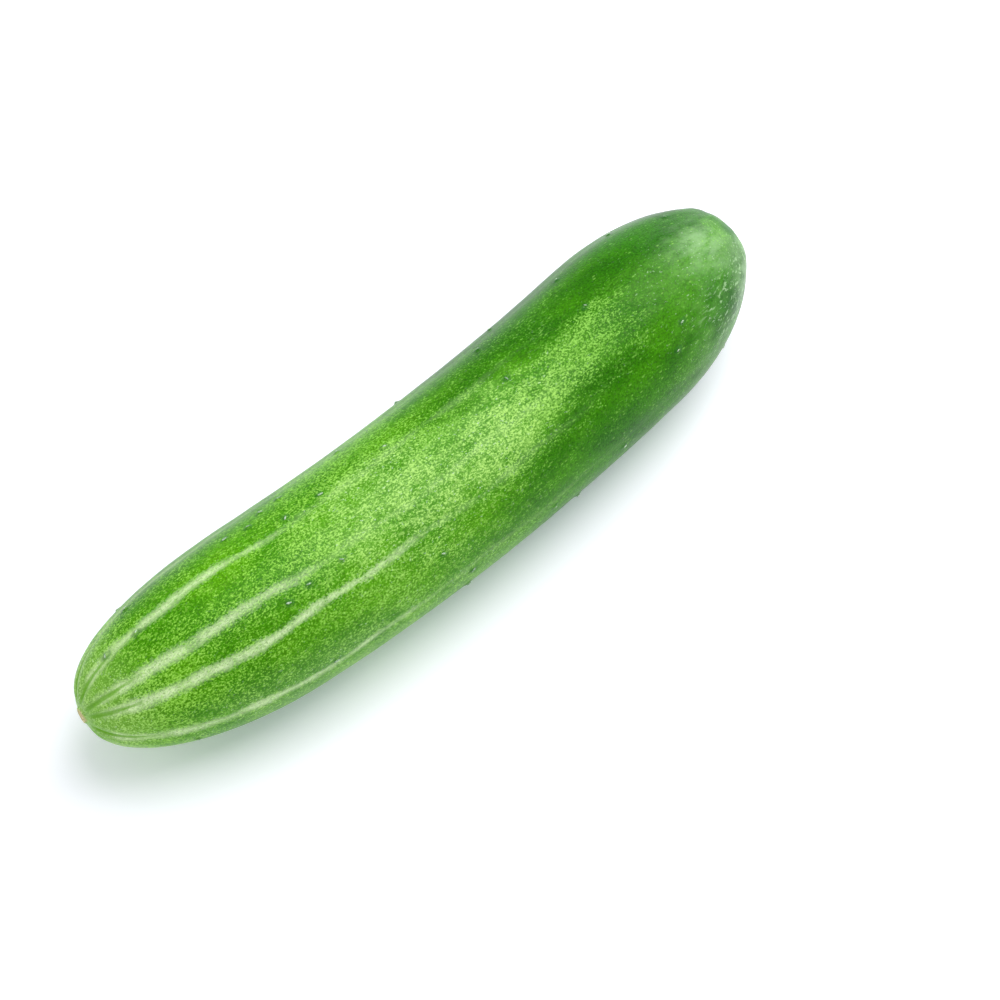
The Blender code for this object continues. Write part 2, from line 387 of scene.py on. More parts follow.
def vein_group():
    """Ragged pale stripes. Distance from the middle of the nearest vein and Width are in millimetres."""
    group, tree, given, out = new_group(
        "Pale veins",
        [("Vector", VECTOR), ("Distance", FLOAT), ("Strength", FLOAT), ("Width", FLOAT)],
        [("Stripe", FLOAT)],
    )
    drawn_out = tree.lengthened(given.outputs["Vector"], 0.6)
    ragged = tree.noise(drawn_out, scale=2100, detail=2, roughness=0.7, distortion=0.3)
    wander = tree.noise(drawn_out, scale=220, detail=2, roughness=0.5)
    edge = tree.times(tree.minus(ragged, 0.5), 4.0)
    edge = tree.plus(edge, tree.times(tree.minus(wander, 0.5), 2.0))
    across = tree.maths("DIVIDE", tree.plus(given.outputs["Distance"], edge), given.outputs["Width"])
    stripe = tree.ease(across, 0.1, 1.25, 1.0, 0.0)
    broken = tree.ease(tree.noise(drawn_out, scale=330, detail=2, roughness=0.5), 0.30, 0.58, 0.55, 1.0)
    grainy = tree.ease(ragged, 0.38, 0.58, 0.42, 1.0)
    stripe = tree.times(stripe, broken, grainy, given.outputs["Strength"])
    tree.links.new(stripe, out.inputs["Stripe"])
    return group


def ground_green(tree, where, darkness, grain):
    """The skin's own green, from bright to deep, in blotches and with the shade of the grain."""
    blotches = tree.noise(tree.lengthened(where, 0.5), scale=95, detail=3, roughness=0.55)
    blotches = tree.ease(blotches, 0.36, 0.64)
    green = tree.mix(darkness, tree.mix(blotches, *BRIGHT_GREENS), tree.mix(blotches, *DEEP_GREENS))
    mottle = tree.ease(grain, 0.34, 0.60, 0.64, 1.18)
    return tree.mix(1.0, green, tree.grey(mottle), "MULTIPLY")


def with_haze(tree, green, where, crowd, haze_and_sheen, blossom):
    """The paler blossom end, the milky haze of the pale side, which is partly painted sheen, and the
    painted highlight patches of the stem end.
    """
    green = tree.tint(green, BLOSSOM_GREEN, blossom, most=0.5)
    # The milky haze is partly the skin's pale tone and partly painted sheen.
    thickness = tree.plus(tree.times(crowd, 0.36), 0.08)
    green = tree.tint(green, HAZE_AND_SHEEN, thickness, most=haze_and_sheen)
    # Painted highlights: soft patches on the stem end's dome.
    highlight_patches = tree.noise(tree.lengthened(where, 0.35), scale=260, detail=4, roughness=0.7)
    highlight_patches = tree.times(tree.ease(highlight_patches, 0.28, 0.66), tree.attribute("stem_end"))
    return tree.tint(green, PAINTED_HIGHLIGHT, highlight_patches, most=0.62)


def with_flecks(tree, green, flecks, darkness, pale_and_sheen):
    # Flecks are whiter at the blossom end, and under the haze, partly as painted sheen.
    fleck = tree.mix(pale_and_sheen, FLECK, PALE_AND_SHEEN_FLECK)
    fleck = tree.tint(fleck, DARK_SIDE_FLECK, darkness, most=0.85)
    green = tree.mix(flecks.outputs["Flecks"], green, fleck)
    # Painted glints, most of them on the pale side.
    most_glints = tree.plus(tree.times(pale_and_sheen, 0.55), 0.10)
    return tree.tint(green, PAINTED_GLINT, flecks.outputs["Glints"], most=most_glints)


def with_end_marks(tree, green, where):
    """Painted glints streaked along the stem end's wrinkles, painted shade at the rim of its hollow, and
    painted shade in the hollow.
    """
    # Painted glints: thin pale streaks along the wrinkles by the stem end.
    glint_streaks = tree.noise(tree.lengthened(where, 0.09), scale=1100, detail=2, roughness=0.6)
    glint_streaks = tree.times(tree.ease(glint_streaks, 0.55, 0.66), tree.attribute("glinting"))
    green = tree.tint(green, PAINTED_GLINT_STREAK, glint_streaks, most=0.6)
    # Painted shade by the rim of the hollow.
    green = tree.tint(green, PAINTED_RIM_SHADE, tree.attribute("rim_shade"), most=0.7)
    # Painted shade in the hollow round the stem.
    return tree.tint(green, PAINTED_HOLLOW_SHADE, tree.attribute("hollow"), most=0.75)


def with_scars(tree, green, where, blossom_scar):
    """A dark ring of painted shade round each wart, and the dry tan of the blossom scar."""
    from_wart = tree.attribute("wart_distance")
    # Painted shade in a ring round each wart's bump.
    ring = tree.times(tree.ease(from_wart, 0.25, 0.5), tree.ease(from_wart, 0.6, 1.1, 1.0, 0.0))
    green = tree.tint(green, PAINTED_WART_SHADE, ring, most=0.42)
    scar_grain = tree.ease(tree.noise(where, scale=1600, detail=3, roughness=0.6), 0.35, 0.65)
    return tree.mix(blossom_scar, green, tree.mix(scar_grain, *BLOSSOM_SCAR_TANS))


def skin_material():
    material, tree, shader, where = new_material("cucumber_skin")
    darkness = tree.attribute("dark")
    haze_and_sheen = tree.attribute("haze_and_sheen")
    blossom = tree.attribute("blossom_end")
    blossom_scar = tree.attribute("scar")
    flecks = tree.group(speckle_group(), Vector=where, Amount=tree.attribute("flecked"))
    veins = tree.group(
        vein_group(),
        Vector=where,
        Distance=tree.attribute("vein_distance"),
        Strength=tree.attribute("vein_strength"),
        Width=tree.attribute("vein_width"),
    )

    green = ground_green(tree, where, darkness, flecks.outputs["Grain"])
    green = with_haze(tree, green, where, flecks.outputs["Crowd"], haze_and_sheen, blossom)
    green = with_flecks(tree, green, flecks, darkness, tree.maths("MAXIMUM", haze_and_sheen, blossom))
    green = tree.mix(veins.outputs["Stripe"], green, VEIN)
    green = tree.tint(green, WEDGE_GREEN, tree.attribute("wedge"), most=0.8)
    green = with_end_marks(tree, green, where)
    green = with_scars(tree, green, where, blossom_scar)
    tree.links.new(green, shader.inputs["Base Color"])

    matte = tree.plus(tree.times(flecks.outputs["Flecks"], 0.08), 0.30)
    matte = tree.plus(matte, tree.times(blossom_scar, 0.4))
    tree.links.new(matte, shader.inputs["Roughness"])
    pores = tree.noise(where, scale=1900, detail=2, roughness=0.6)
    height = tree.plus(pores, tree.times(flecks.outputs["Flecks"], 0.3))
    tree.links.new(tree.bump(height, strength=0.6, distance=0.12 * MM), shader.inputs["Normal"])
    shader.inputs["IOR"].default_value = 1.4
    shader.inputs["Specular IOR Level"].default_value = 0.13
    return material


def stem_material():
    material, tree, shader, where = new_material("cut_stem")
    fibres = tree.noise(tree.lengthened(where, 0.15), scale=2200, detail=3, roughness=0.6)
    pith = tree.noise(where, scale=2400, detail=3, roughness=0.6)
    green = tree.mix(fibres, *STEM_GREENS)
    dry = tree.mix(pith, *DRY_CUT)
    tree.links.new(tree.mix(tree.attribute("cut"), green, dry), shader.inputs["Base Color"])
    tree.links.new(tree.bump(fibres, strength=0.4, distance=0.1 * MM), shader.inputs["Normal"])
    shader.inputs["Roughness"].default_value = 0.55
    return material


def spine_scar_material():
    material, tree, shader, where = new_material("spine_scar")
    grain = tree.ease(tree.noise(where, scale=1800, detail=2, roughness=0.5), 0.35, 0.65)
    tree.links.new(tree.mix(grain, *SPINE_SCAR_GREENS), shader.inputs["Base Color"])
    shader.inputs["Roughness"].default_value = 0.3
    return material


# Modelling.


def active():
    return bpy.context.view_layer.objects.active


def extrude_through(rings, sides, name):
    """A circle extruded and resized from ring to ring along X, closed with a fan at both ends."""
    bpy.ops.object.select_all(action="DESELECT")
    bpy.ops.mesh.primitive_circle_add(
        vertices=sides,
        radius=rings[0][1],
        location=(rings[0][0], 0, 0),
        rotation=(0, math.pi / 2, 0),
    )
    bpy.ops.object.transform_apply(location=True, rotation=True, scale=True)
    made = active()
    made.name = name
    bpy.ops.object.mode_set(mode="EDIT")
    bpy.ops.mesh.select_mode(type="VERT")
    bpy.ops.mesh.select_all(action="SELECT")
    for before, after in zip(rings, rings[1:]):
        bpy.ops.mesh.extrude_region_move(TRANSFORM_OT_translate={"value": (after[0] - before[0], 0, 0)})
        scale = after[1] / before[1]
        bpy.ops.transform.resize(value=(1.0, scale, scale), center_override=(after[0], 0, 0))
    close_selected_ring()
    bpy.ops.mesh.select_all(action="DESELECT")
    bpy.ops.mesh.select_non_manifold()
    close_selected_ring()
    bpy.ops.mesh.select_all(action="SELECT")
    bpy.ops.mesh.normals_make_consistent(inside=False)
    bpy.ops.object.mode_set(mode="OBJECT")
    return made


def close_selected_ring():
    bpy.ops.mesh.extrude_region_move(TRANSFORM_OT_translate={"value": (0, 0, 0)})
    bpy.ops.mesh.merge(type="CENTER")


def subdivide(thing):
    rounding = thing.modifiers.new("rounding", "SUBSURF")
    rounding.levels = ROUNDING_LEVELS
    rounding.render_levels = ROUNDING_LEVELS
    bpy.context.view_layer.objects.active = thing
    bpy.ops.object.modifier_apply(modifier=rounding.name)


def points_of(mesh):
    flat = np.empty(len(mesh.vertices) * 3)
    mesh.vertices.foreach_get("co", flat)
    return flat.reshape(-1, 3)


def put_points(mesh, points):
    mesh.vertices.foreach_set("co", points.ravel())
    mesh.update()


def normals_of(mesh):
    flat = np.empty(len(mesh.vertices) * 3)
    mesh.vertex_normals.foreach_get("vector", flat)
    return flat.reshape(-1, 3)


def store(mesh, name, values):
    attribute = mesh.attributes.new(name, "FLOAT", "POINT")
    attribute.data.foreach_set("value", values.astype(np.float32))


def field(points, size, seed, squeeze=1.0):
    """Soft noise, about -1 to 1, in features of this size, drawn out along X by a squeeze under 1."""
    offset = Vector((seed * 1.7, seed * 3.1, seed * 0.9))
    return np.array([noise.noise(Vector(p) / size + offset) for p in points * (squeeze, 1, 1)])


def wrapped(angle):
    return (angle + np.pi) % (2 * np.pi) - np.pi


class Places:
    """Where each point of the straight, smooth fruit lies: along it, round it and out from its axis."""

    def __init__(self, points):
        self.points = points.copy()
        self.x = self.points[:, 0]
        self.from_stem = CENTRELINE - self.x
        self.radius = np.hypot(points[:, 1], points[:, 2])
        self.angle = np.arctan2(points[:, 1], points[:, 2])
        self.degrees = np.degrees(wrapped(self.angle))

    def past(self, start, end):
        """0 up to the first distance along the fruit, and 1 past the second. Both are in mm."""
        return smooth(start * MM, end * MM, self.x)

    def around(self, angle):
        """How far round the skin each point lies from this angle, which is in radians."""
        return wrapped(self.angle - angle) * self.radius


# The shape of the fruit.


def dome_radius(x):
    """The radius of the blossom end's dome at distance x from its tip."""
    left = 1 - x / BLOSSOM_TAPER
    return RADIUS * (1 - left * left) ** (1 / BLOSSOM_FULLNESS)


def stem_dome(radius):
    """How far the stem end's dome lies from the end of the centreline, at this radius."""
    return STEM_TAPER * (1 - math.sqrt(max(0.0, 1 - (radius / RADIUS) ** STEM_FULLNESS)))


def stem_end(radius):
    """How far the skin lies from the centreline's end: the dome, blended at the rim into the hollow."""
    dome = stem_dome(radius)
    hollow = stem_dome(HOLLOW_RADIUS) + HOLLOW_DEPTH * (1 - (radius / HOLLOW_RADIUS) ** 2)
    return (dome + hollow + math.hypot(dome - hollow, RIM_ROUNDING)) / 2


HOLLOW_FLOOR = CENTRELINE - stem_end(SOCKET_RADIUS)


def fruit_profile():
    """The rings that the fruit is extruded through, as (x, radius), from the blossom scar to the socket."""
    rings = [
        (SCAR_DISH, 0.3 * SCAR_RADIUS),
        (SCAR_DISH, 0.6 * SCAR_RADIUS),
        (0.3 * SCAR_DISH, 0.8 * SCAR_RADIUS),
        (0.0, 0.93 * SCAR_RADIUS),
        (0.35 * SCAR_RIM, SCAR_RADIUS),
        (SCAR_RIM + 0.2 * MM, SCAR_RADIUS + 0.05 * MM),
    ]
    for ring in range(DOME_RINGS):
        share = (ring + DOME_START) / (DOME_RINGS - 1 + DOME_START)
        x = BLOSSOM_TAPER * (1 - math.cos(0.5 * math.pi * share))
        x = SCAR_RIM + x * (1 - SCAR_RIM / BLOSSOM_TAPER)
        rings.append((x, dome_radius(x - SCAR_RIM)))
    body = CENTRELINE - STEM_TAPER - BLOSSOM_TAPER
    for ring in range(BODY_RINGS):
        rings.append((BLOSSOM_TAPER + (ring + 1) / (BODY_RINGS + 1) * body, RADIUS))
    shoulder = HOLLOW_RADIUS + RIM_ROUNDING
    for ring in range(SHOULDER_RINGS):
        radius = RADIUS * math.cos(0.5 * math.pi * ring / SHOULDER_RINGS) ** (2 / STEM_FULLNESS)
        if radius > shoulder:
            rings.append((CENTRELINE - stem_end(radius), radius))
    for ring in range(HOLLOW_RINGS):
        radius = shoulder + ring / (HOLLOW_RINGS - 1) * (SOCKET_RADIUS - shoulder)
        rings.append((CENTRELINE - stem_end(radius), radius))
    rings.append((HOLLOW_FLOOR - 0.5 * SOCKET_DEPTH, SOCKET_RADIUS))
    rings.append((HOLLOW_FLOOR - SOCKET_DEPTH, SOCKET_RADIUS))
    return rings


def vein_line(i, x):
    """The angle of one vein along the fruit, in radians, with a slow and a quick wander."""
    slow = 0.018 * np.sin(2 * np.pi * x / (85 * MM) + 1.9 * i)
    quick = 0.016 * np.sin(2 * np.pi * x / (31 * MM) + 2.7 * i)
    return math.radians(VEIN_ANGLES[i]) + (slow + quick) * smooth(0.0, 30 * MM, x)


def nearest_vein(place):
    """Each point's distance from its nearest vein, that vein's number, and its share of the way
    from the vein before it to the vein after it."""
    gaps = np.stack([wrapped(place.angle - vein_line(i, place.x)) for i in range(len(VEIN_ANGLES))])
    number = np.abs(gaps).argmin(axis=0)
    gap = np.take_along_axis(gaps, number[None], axis=0)[0]
    before = np.where(gaps >= 0, gaps, 2 * np.pi).min(axis=0)
    after = np.where(gaps < 0, -gaps, 2 * np.pi).min(axis=0)
    return np.abs(gap) * place.radius, number, before / (before + after)


def wart_places():
    """(x, angle, height, size) of each wart: the seen ones, then uneven rows on the hidden side."""
    places = [(x * MM, math.radians(a)) for x, a in SEEN_WARTS]
    for i, start in enumerate(PACKED_RIBS):
        width = (PACKED_RIBS[(i + 1) % len(PACKED_RIBS)] - start) % 360
        for k in range(WARTS_PER_RIB):
            x = CENTRELINE * (0.06 + 0.86 * (k + rng.uniform(0.15, 0.85)) / WARTS_PER_RIB)
            angle = (start + width * rng.uniform(0.2, 0.8)) % 360
            if 60 < angle < 262 and abs(angle - 180) > WARTS_CLEAR_OF_BELLY:
                places.append((x, math.radians(angle)))
    return [(x, a, rng.uniform(0.25, 0.42) * MM, rng.uniform(0.5, 0.8) * MM) for x, a in places]


WARTS = wart_places()


def ribs(place, share):
    """Rounded ribs with a sharp valley on each vein, which soften and sink towards the stem."""
    height = RIB_ON_BODY
    height = height + (RIB_AT_BLOSSOM_END - RIB_ON_BODY) * bell(place.x, RIB_REACH)
    height = height + (RIB_AT_STEM_END - RIB_ON_BODY) * bell(place.from_stem, RIB_REACH)
    sharp = np.sin(np.pi * share) - 0.6
    soft = 0.04 - 0.5 * np.cos(2 * np.pi * share)
    by_stem = 1 - smooth(12 * MM, 35 * MM, place.from_stem)
    sunk = 1 - 0.65 * by_stem * (1 - smooth(0.35, 0.75, place.radius / RADIUS))
    return height * (sharp + by_stem * (soft - sharp)) * sunk


def relief(place):
    """How far each point of the straight, smooth fruit moves out along its normal."""
    distance, _, share = nearest_vein(place)
    round_share = place.radius / RADIUS
    off_axis = np.clip((place.radius - SOCKET_RADIUS) / SOCKET_RADIUS, 0, 1)
    crease = CREASE_DEPTH * bell(place.x, CREASE_REACH) * bell(distance, CREASE_WIDTH)
    turn = 2 * np.pi * (place.x - OVAL_START) / OVAL_PITCH
    oval = OVAL_HEIGHT * np.cos(turn + 2 * (place.angle - math.radians(OVAL_ANGLE)))
    widening = place.radius * WIDENING * (place.x / CENTRELINE - 0.5)
    out = (ribs(place, share) - crease + oval * round_share + widening) * off_axis

    # Uneven bumps and wrinkles, as (height, size, squeeze, seed, where they show).
    uneven = (
        (0.16 * MM, 14 * MM, 0.6, 1, round_share),
        (0.05 * MM, 4.5 * MM, 0.6, 2, round_share),
        (0.10 * MM, 3 * MM, 0.22, 3, bell(place.from_stem, 26 * MM) * off_axis),
        (0.06 * MM, 1.3 * MM, 0.12, 5, bell(place.from_stem, 17 * MM) * off_axis),
        (0.05 * MM, 2.2 * MM, 0.30, 4, bell(place.x, 14 * MM) * off_axis),
    )
    for height, size, squeeze, seed, shown in uneven:
        out += height * field(place.points, size, seed, squeeze) * shown

    for wart_x, wart_angle, height, size in WARTS:
        away = np.hypot(place.x - wart_x, place.around(wart_angle))
        out += height * bell(away, size)
        out -= 0.12 * height * bell(away - 1.9 * size, 0.7 * size)
    return out


def bow_mesh(thing):
    """Sways the straight mesh aside, then bends it along its length."""
    points = points_of(thing.data)
    middle = CENTRELINE / 2
    points[:, 0] -= middle
    along = points[:, 0] / middle
    turn = np.clip((along - STEM_TURN_START) / (1 - STEM_TURN_START), 0, None)
    points[:, 1] += SWAY * (along - along**3) + STEM_TURN * turn**2
    put_points(thing.data, points)
    bend = thing.modifiers.new("bow", "SIMPLE_DEFORM")
    bend.deform_method = "BEND"
    bend.deform_axis = "Z"
    bend.angle = (points[:, 0].max() - points[:, 0].min()) / BOW_RADIUS
    bpy.context.view_layer.objects.active = thing
    bpy.ops.object.modifier_apply(modifier=bend.name)


# What the skin's material reads at each point.


def store_veins(mesh, place):
    """How far the nearest vein is, how strong and how wide it is there, and the green wedge in it."""
    distance, number, _ = nearest_vein(place)
    strengths = np.array(VEIN_STRENGTHS)[number]
    ends = np.array(VEIN_ENDS)[number] * MM
    strength = strengths * (1 - smooth(0.55 * ends, 1.05 * ends, place.x)) * place.past(1.5, 5)
    faint = FAINT_VEIN * strengths * (1 - place.past(100, 150))
    store(mesh, "vein_distance", distance / MM)
    store(mesh, "vein_strength", np.maximum(strength, faint))
    store(mesh, "vein_width", VEIN_WIDTH + (THIN_VEIN_WIDTH - VEIN_WIDTH) * place.past(20, 75))
    wedge_width = (0.75 - 0.4 * place.past(4, 12)) * MM
    wedge = 1 - smooth(0.5 * wedge_width, wedge_width, distance)
    store(mesh, "wedge", wedge * place.past(0.4, 1.4) * (1 - place.past(7, 15)))


def pale_side_of(place, ragged_degrees):
    """1 on the pale side that is seen, which narrows towards the stem end."""
    lower_edge = -80 + 25 * place.past(92, 145)
    upper_edge = -14 * place.past(80, 116)
    above_lower = smooth(lower_edge, lower_edge + 44, ragged_degrees)
    below_upper = 1 - smooth(upper_edge, upper_edge + 26, ragged_degrees)
    return above_lower * below_upper


def darkness_of(place, ragged_x, pale_side, stem_half):
    """The deep green of the stem half outside its pale side, and the darker far side."""
    in_pale_side = 0.6 * smooth(118 * MM, 164 * MM, ragged_x) * pale_side
    by_blossom = place.past(20, 40) * (1 - place.past(60, 80)) * smooth(10, 25, -place.degrees)
    to_middle = place.past(55, 80)
    far_edge = 22 + 24 * to_middle
    far_side = smooth(far_edge, far_edge + 26, place.degrees) * (1 - smooth(115, 160, place.degrees))
    far_side = (0.60 - 0.22 * to_middle) * far_side * place.past(8, 30)
    blotches = 0.10 * field(place.points, 20 * MM, seed=9)
    return stem_half * (1 - pale_side) + in_pale_side + 0.14 * by_blossom + far_side + blotches


def fleck_share_of(place, ragged_x, pale_side, stem_half):
    """How crowded the pale flecks are: thinner past the blossom end, by the stem and where it is dark."""
    points = place.points
    past_blossom = 0.40 * place.past(12, 26) * (1 - place.past(45, 75))
    off_pale_side = 0.28 * place.past(30, 60) * (1 - pale_side)
    in_patches = 0.30 * smooth(0.0, 0.35, field(points, 7 * MM, 13, squeeze=0.25)) * place.past(70, 120)
    by_stem = smooth(148 * MM, 180 * MM, ragged_x) * (0.8 - 0.3 * field(points, 16 * MM, 8, squeeze=0.5))
    in_dark = 0.75 * stem_half * (1 - pale_side)
    return (1 - past_blossom) * (1 - off_pale_side) * (1 - in_patches) * (1 - by_stem) * (1 - in_dark)


def haze_and_sheen_of(place, ragged_x, ragged_degrees, pale_side):
    """The haze over the pale side, the belly, and the near side of the stem end: the skin's pale haze, with
    painted sheen over the pale side and on the near side of the stem end.
    """
    # On the pale side, the skin's pale haze and painted sheen together.
    on_pale_side = pale_side * place.past(45, 85) * (1 - 0.9 * smooth(115 * MM, 150 * MM, ragged_x))
    belly = smooth(56, 86, -place.degrees) + smooth(110, 150, place.degrees)
    belly = belly * (1 - smooth(92 * MM, 122 * MM, ragged_x)) * place.past(0, 40)
    # Painted sheen on the near side of the stem end.
    near_side = smooth(-150, -100, place.degrees) * (1 - smooth(-16, 10, ragged_degrees))
    by_stem = near_side * smooth(156 * MM, 178 * MM, ragged_x)
    return on_pale_side + 0.65 * belly + 0.6 * by_stem


def store_greens(mesh, place):
    points = place.points
    ragged_degrees = place.degrees + 9 * field(points, 9 * MM, seed=6, squeeze=0.4)
    ragged_degrees += 10 * field(points, 3 * MM, seed=7, squeeze=0.5)
    ragged_degrees += 8 * field(points, 16 * MM, seed=11, squeeze=0.22)
    ragged_x = place.x + 5 * MM * field(points, 6 * MM, seed=10, squeeze=0.6)
    pale_side = pale_side_of(place, ragged_degrees)
    stem_half = place.past(80, 135) * (0.76 + 0.24 * place.past(160, 180))
    dark = darkness_of(place, ragged_x, pale_side, stem_half)
    flecked = fleck_share_of(place, ragged_x, pale_side, stem_half)
    haze_and_sheen = haze_and_sheen_of(place, ragged_x, ragged_degrees, pale_side)
    store(mesh, "dark", np.clip(dark, 0, 1))
    store(mesh, "flecked", np.clip(flecked, 0, 1))
    store(mesh, "haze_and_sheen", np.clip(haze_and_sheen, 0, 1))


def store_ends(mesh, place):
    """The marks of the two ends. Those of the stem end, painted highlights, painted glints and painted
    shade, lie on the side that is seen.
    """
    degrees = place.degrees
    store(mesh, "blossom_end", 1 - place.past(3, 18))
    ragged_radius = place.radius + 0.5 * MM * field(place.points, 1.1 * MM, seed=15)
    scar = 1 - smooth(SCAR_RADIUS - 0.5 * MM, SCAR_RADIUS + 0.2 * MM, ragged_radius)
    store(mesh, "scar", scar * (place.x < 2 * MM))

    # Painted highlights: soft patches on the top, side and rim of the stem end's dome.
    top_highlight = bell(degrees + 17, 26) * bell(place.x - 189.5 * MM, 9 * MM)
    side_highlight = 1.1 * bell(degrees + 74, 24) * place.past(186, 198)
    rim_highlight = 0.3 * bell(degrees + 48, 34) * place.past(197, 203)
    store(mesh, "stem_end", np.clip(top_highlight + side_highlight + rim_highlight, 0, 1.4))
    # Painted glints streaked along the wrinkles on the lower near side by the stem end.
    glinting = smooth(-105, -88, degrees) * (1 - smooth(-56, -38, degrees))
    store(mesh, "glinting", glinting * place.past(168, 186))
    # Painted shade: a dark patch where the rim dips into the hollow.
    store(mesh, "rim_shade", bell(degrees + 24, 15) * place.past(198.5, 202))
    # Painted shade in the hollow round the stem.
    by_hollow = place.from_stem < 9 * MM
    store(mesh, "hollow", by_hollow * (1 - smooth(4.5 * MM, 7 * MM, place.radius)))


def store_wart_distances(mesh, place):
    """How far the nearest wart is, in mm, counting less along the fruit, for the rings of painted shade
    round them.
    """
    nearest = np.full(len(place.x), 3 * MM)
    for wart_x, wart_angle, _, _ in WARTS:
        away = np.hypot(0.6 * (place.x - wart_x), place.around(wart_angle))
        nearest = np.minimum(nearest, away)
    store(mesh, "wart_distance", nearest / MM)


# The pieces.


def make_skin():
    """The dressed fruit. Returns it, where its points lay when straight, and how far it was moved."""
    skin = extrude_through(fruit_profile(), FRUIT_SIDES, "skin")
    subdivide(skin)
    mesh = skin.data
    points = points_of(mesh)
    place = Places(points)
    store_veins(mesh, place)
    store_greens(mesh, place)
    store_ends(mesh, place)
    store_wart_distances(mesh, place)

    put_points(mesh, points + normals_of(mesh) * relief(place)[:, None])
    bow_mesh(skin)
    points = points_of(mesh)
    points[:, 2] = np.maximum(points[:, 2], BELLY_CUT - RADIUS)
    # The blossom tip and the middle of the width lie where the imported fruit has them.
    low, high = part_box("fruit")
    to_tip = low[0] - points[:, 0].min()
    to_middle = (low[1] + high[1] - points[:, 1].min() - points[:, 1].max()) / 2
    shift = np.array((to_tip, to_middle, -points[:, 2].min()))
    put_points(mesh, points + shift)
    mesh.shade_smooth()
    mesh.materials.append(skin_material())
    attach(skin, "root")
    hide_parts("fruit")
    return skin, place, shift


def make_cap():
    """One spine scar: a low, long, slightly uneven cap."""
    bpy.ops.object.select_all(action="DESELECT")
    bpy.ops.mesh.primitive_uv_sphere_add(segments=16, ring_count=8, radius=0.32 * MM)
    bpy.ops.object.mode_set(mode="EDIT")
    bpy.ops.mesh.select_all(action="SELECT")
    bpy.ops.transform.resize(value=(2.0, 0.65, 0.55), center_override=(0, 0, 0))
    bpy.ops.transform.vertex_random(offset=0.05 * MM, seed=3)
    bpy.ops.object.mode_set(mode="OBJECT")
    return active()


def add_spine_scars(skin, place):
    """A low pale cap on each wart: one is modelled, and the others are copies of it."""
    points = points_of(skin.data)
    normals = normals_of(skin.data)
    cap = make_cap()
    caps = [cap]
    for _ in WARTS[1:]:
        other = cap.copy()
        other.data = cap.data.copy()
        bpy.context.scene.collection.objects.link(other)
        caps.append(other)
    for other, (wart_x, wart_angle, _, _) in zip(caps, WARTS):
        away = np.hypot(place.x - wart_x, place.around(wart_angle))
        nearest = int(away.argmin())
        outwards = Vector(normals[nearest])
        turn = outwards.to_track_quat("Z", "Y") @ Quaternion((0, 0, 1), rng.uniform(-0.5, 0.5))
        grown = Matrix.Scale(rng.uniform(0.6, 1.15), 4)
        foot = Matrix.Translation(Vector(points[nearest]) - outwards * 0.02 * MM)
        other.data.transform(foot @ turn.to_matrix().to_4x4() @ grown)
    bpy.ops.object.select_all(action="DESELECT")
    for other in caps:
        other.select_set(True)
    bpy.context.view_layer.objects.active = cap
    bpy.ops.object.join()
    cap.name = "spine_scars"
    cap.data.shade_smooth()
    cap.data.materials.append(spine_scar_material())
    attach(cap, "root")


def stub_profile():
    """The rings of the stub, as (height over the hollow's floor, radius), from its root to its cut."""
    return [
        (0.3 * MM - SOCKET_DEPTH, 0.6 * STUB_ROOT),
        (0.3 * MM - SOCKET_DEPTH, STUB_ROOT),
        (-0.6 * MM, STUB_ROOT),
        (0.3 * MM, STUB_ROOT),
        (0.6 * MM, STUB_COLLAR - 0.3 * MM),
        (0.95 * MM, STUB_COLLAR),
        (1.4 * MM, 0.55 * STUB_COLLAR + 0.45 * STUB_NECK),
        (2.0 * MM, 0.2 * STUB_COLLAR + 0.8 * STUB_NECK),
        (2.6 * MM, STUB_NECK),
        (3.2 * MM, 0.6 * STUB_NECK + 0.4 * STUB_END),
        (3.75 * MM, STUB_END),
        (STUB_HEIGHT, 0.96 * STUB_END),
        (STUB_HEIGHT - 0.2 * MM, 0.75 * STUB_END),
        (STUB_HEIGHT - 0.35 * MM, 0.4 * STUB_END),
    ]


def make_stub(shift):
    """The ridged end of the stem, cut off on a slant."""
    rings = [(HOLLOW_FLOOR + height, radius) for height, radius in stub_profile()]
    stub = extrude_through(rings, STUB_SIDES, "stem_end")
    subdivide(stub)
    mesh = stub.data
    points = points_of(mesh)
    height = points[:, 0] - HOLLOW_FLOOR
    radius = np.hypot(points[:, 1], points[:, 2])
    angle = np.arctan2(points[:, 1], points[:, 2])
    on_cut = (height > STUB_HEIGHT - 0.5 * MM) & (radius < 0.93 * STUB_END)
    store(mesh, "cut", on_cut.astype(float))

    ridged = smooth(0.4 * MM, 1.8 * MM, height)
    out = STUB_RIDGE_HEIGHT * np.cos(STUB_RIDGES * angle)
    out += STUB_FINE_RIDGE_HEIGHT * np.cos(STUB_FINE_RIDGES * angle)
    out *= ridged * np.clip(radius / STUB_END, 0, 1)
    out += 0.07 * MM * field(points, 0.6 * MM, seed=12, squeeze=0.2) * ridged
    reach = (radius + out) / np.maximum(radius, 0.001 * MM)
    points[:, 1] *= reach
    points[:, 2] *= reach
    points[:, 0] += STUB_SLANT * points[:, 2] * np.clip(height / STUB_HEIGHT, 0, 1) ** 2
    points[:, 0] += 0.10 * MM * field(points, 0.5 * MM, seed=14) * on_cut
    put_points(mesh, points)
    bow_mesh(stub)
    put_points(mesh, points_of(mesh) + shift)
    mesh.shade_smooth()
    mesh.materials.append(stem_material())
    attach(stub, "root")
    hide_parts("stem_stub")


# Camera, light and floor.

CAMERA_TURN = math.radians(42.49)
CAMERA_ELEVATION = math.radians(57.29)
CAMERA_DISTANCE = 0.893
CAMERA_TARGET = Vector((8.05 * MM, -14.15 * MM, 22.15 * MM))
CAMERA_LENS = 135
SENSOR_WIDTH = 36
FLOOR_SIZE = 6
FLOOR_COLOUR = (0.96, 0.94, 1.0, 1)
FLOOR_GLOW = (0.8, 0.9, 1.0, 1)
STUDIO_COLOUR = (0.97, 0.985, 1.0, 1)


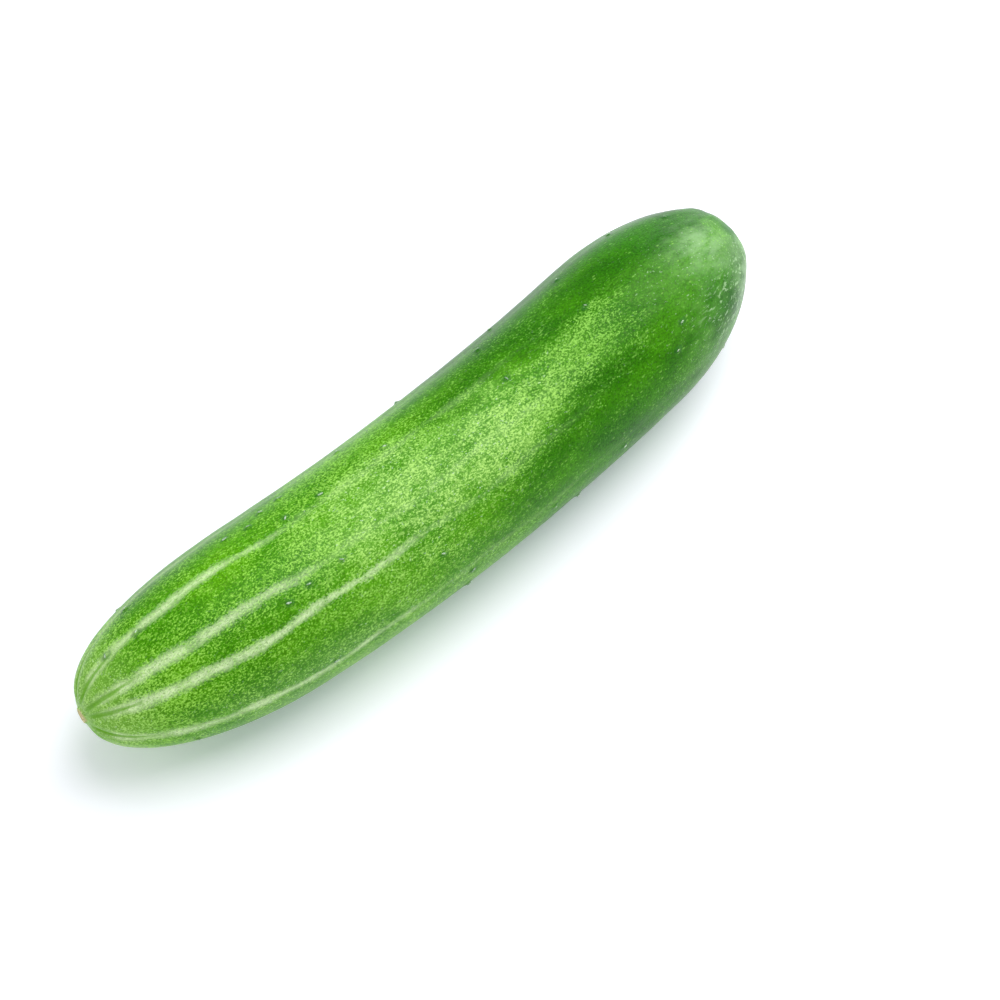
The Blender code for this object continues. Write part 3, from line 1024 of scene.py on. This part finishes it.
def make_camera():
    data = bpy.data.cameras.new("camera")
    data.lens = CAMERA_LENS
    data.sensor_width = SENSOR_WIDTH
    camera = bpy.data.objects.new("camera", data)
    bpy.context.scene.collection.objects.link(camera)
    level = math.cos(CAMERA_ELEVATION)
    forward = Vector(
        (level * math.sin(CAMERA_TURN), level * math.cos(CAMERA_TURN), -math.sin(CAMERA_ELEVATION))
    )
    camera.location = CAMERA_TARGET - forward * CAMERA_DISTANCE
    camera.rotation_euler = forward.to_track_quat("-Z", "Y").to_euler()
    bpy.context.scene.camera = camera


def add_light(name, place, aim, size, energy):
    data = bpy.data.lights.new(name, "AREA")
    data.shape = "RECTANGLE"
    data.size, data.size_y = size
    data.energy = energy
    light = bpy.data.objects.new(name, data)
    bpy.context.scene.collection.objects.link(light)
    light.location = place
    light.rotation_euler = (Vector(aim) - Vector(place)).to_track_quat("-Z", "Y").to_euler()


def make_floor():
    bpy.ops.object.select_all(action="DESELECT")
    bpy.ops.mesh.primitive_plane_add(size=FLOOR_SIZE, location=(0, 0, 0))
    floor = active()
    floor.name = "floor"
    material = bpy.data.materials.new("floor")
    material.use_nodes = True
    shader = material.node_tree.nodes["Principled BSDF"]
    shader.inputs["Base Color"].default_value = FLOOR_COLOUR
    shader.inputs["Roughness"].default_value = 0.45
    shader.inputs["Specular IOR Level"].default_value = 0.2
    shader.inputs["Emission Color"].default_value = FLOOR_GLOW
    shader.inputs["Emission Strength"].default_value = 0.18
    floor.data.materials.append(material)


def make_light():
    """An even white studio, with a large softbox over the fruit and a weaker light from either side."""
    world = bpy.data.worlds.new("studio")
    world.use_nodes = True
    background = world.node_tree.nodes["Background"]
    background.inputs["Color"].default_value = STUDIO_COLOUR
    background.inputs["Strength"].default_value = 0.56
    bpy.context.scene.world = world
    add_light("softbox", place=(0.38, -0.06, 0.98), aim=(0, 0, 0), size=(0.85, 1.05), energy=8.5)
    add_light("left", place=(-0.9, 0.5, 0.7), aim=(0, 0, 0), size=(0.5, 0.5), energy=1.5)
    add_light("right", place=(1.1, 0.24, 0.46), aim=(0.08, 0, 0.03), size=(0.6, 0.6), energy=4.5)
    bpy.context.scene.view_settings.view_transform = "Standard"


fruit_skin, straight_places, placing = make_skin()
add_spine_scars(fruit_skin, straight_places)
make_stub(placing)
make_camera()
make_floor()
make_light()
